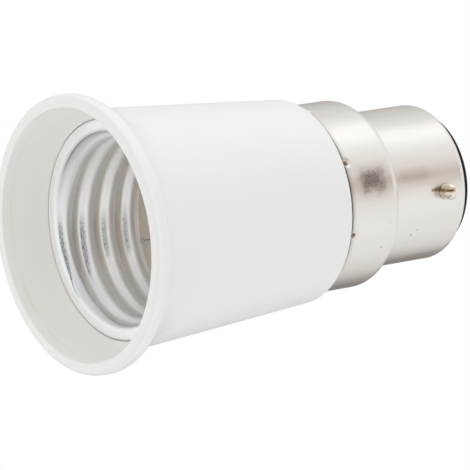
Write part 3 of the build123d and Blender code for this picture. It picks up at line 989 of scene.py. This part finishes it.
# Brightness of the studio round the axis, by angle in degrees, as the plated cap mirrors it
RING_LEVELS = (
    (-180, (0.30, 0.28, 0.26)),
    (-155, (0.60, 0.59, 0.58)),
    (-131, (0.80, 0.80, 0.80)),
    (-118, (0.80, 0.80, 0.80)),
    (-105, (0.93, 0.93, 0.93)),
    (-94, (1.34, 1.34, 1.34)),
    (-82, (1.34, 1.34, 1.34)),
    (-70, (1.14, 1.14, 1.14)),
    (-55, (0.96, 0.96, 0.96)),
    (-42, (0.90, 0.89, 0.88)),
    (-28, (0.84, 0.80, 0.76)),
    (-20, (0.72, 0.58, 0.46)),
    (-18, (0.16, 0.11, 0.07)),
    (-14, (0.16, 0.11, 0.07)),
    (-12, (0.74, 0.62, 0.52)),
    (0, (0.95, 0.94, 0.93)),
    (20, (1.00, 1.00, 1.00)),
    (45, (0.97, 0.97, 0.97)),
    (75, (0.89, 0.89, 0.89)),
    (95, (0.83, 0.82, 0.81)),
    (110, (0.70, 0.68, 0.66)),
    (122, (0.25, 0.235, 0.22)),
    (140, (0.15, 0.14, 0.13)),
    (180, (0.30, 0.28, 0.26)),
)
CEILING_COLOUR = (0.95, 0.95, 0.95, 1)
CEILING_FROM = (0.70, 0.88)
UNDER_FROM = (0.15, -0.10)
UNDER_LEVEL = 0.96
UNDER_LEAN = 0.08
UNDER_SIDES = 0.50
SKY_LEVEL = 0.895
SKY_LEAN = (-0.05, -0.115, 0.02)
SKY_SIDES = 3.4
SKY_SLANT = 0.35
SKY_DOWN = 0.3
SKY_DOWN_POWER = 4.0

SOFTBOX_PLACE = Vector((0.12, -0.55, 0.25))
SOFTBOX_TARGET = Vector((0, 0, 0.03))
SOFTBOX_SIZE = 0.5
SOFTBOX_WATTS = 0.1


def mixed_shader(tree, factor, first, second):
    """Two shaders mixed by a factor."""
    made = node(tree, "ShaderNodeMixShader")
    feed(tree, made.inputs[0], factor)
    tree.links.new(first, made.inputs[1])
    tree.links.new(second, made.inputs[2])
    return made.outputs[0]


def make_floor():
    """A matt disc, greyer near the part as painted shade round it, that fades to white away from
    the part, and is clear from below.
    """
    mesh = bpy.data.meshes.new("floor")
    shape = bmesh.new()
    bmesh.ops.create_circle(shape, cap_ends=True, segments=GROUND_STEPS, radius=GROUND_RADIUS)
    shape.to_mesh(mesh)
    shape.free()
    material, tree, shader = new_material("pale_floor")
    shader.inputs["Base Color"].default_value = GROUND_SHADOW_COLOUR
    shader.inputs["Roughness"].default_value = 0.9
    glow = node(tree, "ShaderNodeEmission")
    glow.inputs["Color"].default_value = WHITE
    spread = node(tree, "ShaderNodeVectorMath", operation="LENGTH")
    feed(tree, spread.inputs[0], place(tree))
    far = ranged(tree, spread.outputs["Value"], *GROUND_FADE)
    faded = mixed_shader(tree, far, shader.outputs[0], glow.outputs[0])
    clear = node(tree, "ShaderNodeBsdfTransparent").outputs[0]
    behind = node(tree, "ShaderNodeNewGeometry").outputs["Backfacing"]
    surface = mixed_shader(tree, behind, faded, clear)
    tree.links.new(surface, tree.nodes["Material Output"].inputs["Surface"])
    floor = put("floor", mesh)
    mesh.materials.append(material)
    floor.visible_diffuse = False
    floor.visible_glossy = False
    floor.visible_transmission = False
    floor.visible_shadow = False
    floor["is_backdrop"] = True


def mirrored_ring(tree, turn):
    """The studio's brightness round the axis, as a colour ramp over the angle in degrees."""
    ramp = node(tree, "ShaderNodeValToRGB")
    feed(tree, ramp.inputs[0], calc(tree, "DIVIDE", calc(tree, "ADD", turn, 180.0), 360.0))
    ramp.color_ramp.interpolation = "LINEAR"
    points = ramp.color_ramp.elements
    while len(points) < len(RING_LEVELS):
        points.new(0.5)
    # Points are sorted as they are placed, so their colours are set afterwards
    for point, (angle, _) in zip(points, RING_LEVELS):
        point.position = (angle + 180) / 360
    for point, (_, level) in zip(points, RING_LEVELS):
        point.color = (*level, 1)
    return ramp.outputs[0]


def background(tree, socket, value):
    """A world background with its colour or its strength given."""
    made = node(tree, "ShaderNodeBackground")
    made.inputs["Color"].default_value = WHITE
    feed(tree, made.inputs[socket], value)
    return made.outputs[0]


def make_world():
    """White for the camera, an even sky for plastic, and a ring of light for metal to mirror."""
    world = bpy.data.worlds.new("studio")
    bpy.context.scene.world = world
    world.use_nodes = True
    tree = world.node_tree
    tree.nodes.clear()
    direction = node(tree, "ShaderNodeTexCoord").outputs["Generated"]
    x, y, z = split_axes(tree, direction)

    ring = mirrored_ring(tree, calc(tree, "DEGREES", calc(tree, "ARCTAN2", y, x)))
    ring = blend_colours(tree, ranged(tree, z, *CEILING_FROM), ring, CEILING_COLOUR)
    darker = times(tree, y, calc(tree, "MULTIPLY_ADD", y, UNDER_SIDES, UNDER_LEAN))
    under = calc(tree, "SUBTRACT", UNDER_LEVEL, darker)
    ring = blend_colours(tree, ranged(tree, z, *UNDER_FROM), ring, under)

    lean = node(tree, "ShaderNodeVectorMath", operation="DOT_PRODUCT")
    feed(tree, lean.inputs[0], direction)
    lean.inputs[1].default_value = SKY_LEAN
    down = calc(tree, "MAXIMUM", times(tree, z, -1.0))
    slanted = times(tree, y, down)
    sides = times(tree, slanted, calc(tree, "MULTIPLY_ADD", slanted, SKY_SIDES, SKY_SLANT))
    steep = calc(tree, "POWER", down, SKY_DOWN_POWER)
    straight = calc(tree, "MULTIPLY_ADD", steep, -SKY_DOWN, SKY_LEVEL)
    sky = calc(tree, "ADD", lean.outputs["Value"], calc(tree, "ADD", sides, straight))

    path = node(tree, "ShaderNodeLightPath").outputs
    mirrored = background(tree, "Color", ring)
    soft = background(tree, "Strength", sky)
    backdrop = background(tree, "Color", WHITE)
    lit = mixed_shader(tree, path["Is Glossy Ray"], soft, mirrored)
    seen = calc(tree, "MAXIMUM", path["Is Camera Ray"], path["Is Transmission Ray"])
    output = node(tree, "ShaderNodeOutputWorld")
    tree.links.new(mixed_shader(tree, seen, lit, backdrop), output.inputs["Surface"])


def aim(made, spot, target, up):
    """Set an object at a spot, its -Z towards a target and its Y near an up direction."""
    back = (spot - target).normalized()
    right = up.cross(back).normalized()
    turned = Matrix((right, back.cross(right), back)).transposed().to_4x4()
    turned.translation = spot
    made.matrix_world = turned


def make_softbox():
    light = bpy.data.lights.new("top_softbox", "AREA")
    light.shape = "DISK"
    light.size = SOFTBOX_SIZE
    light.energy = SOFTBOX_WATTS
    lamp = put("top_softbox", light)
    aim(lamp, SOFTBOX_PLACE, SOFTBOX_TARGET, Vector((0, 0, 1)))
    lamp.visible_glossy = False


def make_camera():
    lens = bpy.data.cameras.new("camera")
    lens.sensor_width = SENSOR
    lens.lens = SENSOR * FOCAL_PIXELS / PHOTO_SIDE
    camera = put("camera", lens)
    aim(camera, CAMERA_PLACE, CAMERA_PLACE + CAMERA_VIEW, CAMERA_UP)
    bpy.context.scene.camera = camera


make_floor()
make_world()
make_softbox()
make_camera()
bpy.context.scene.view_settings.view_transform = "Standard"

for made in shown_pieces():
    made.data.shade_smooth()
    made.data.set_sharp_from_angle(angle=CRISP)
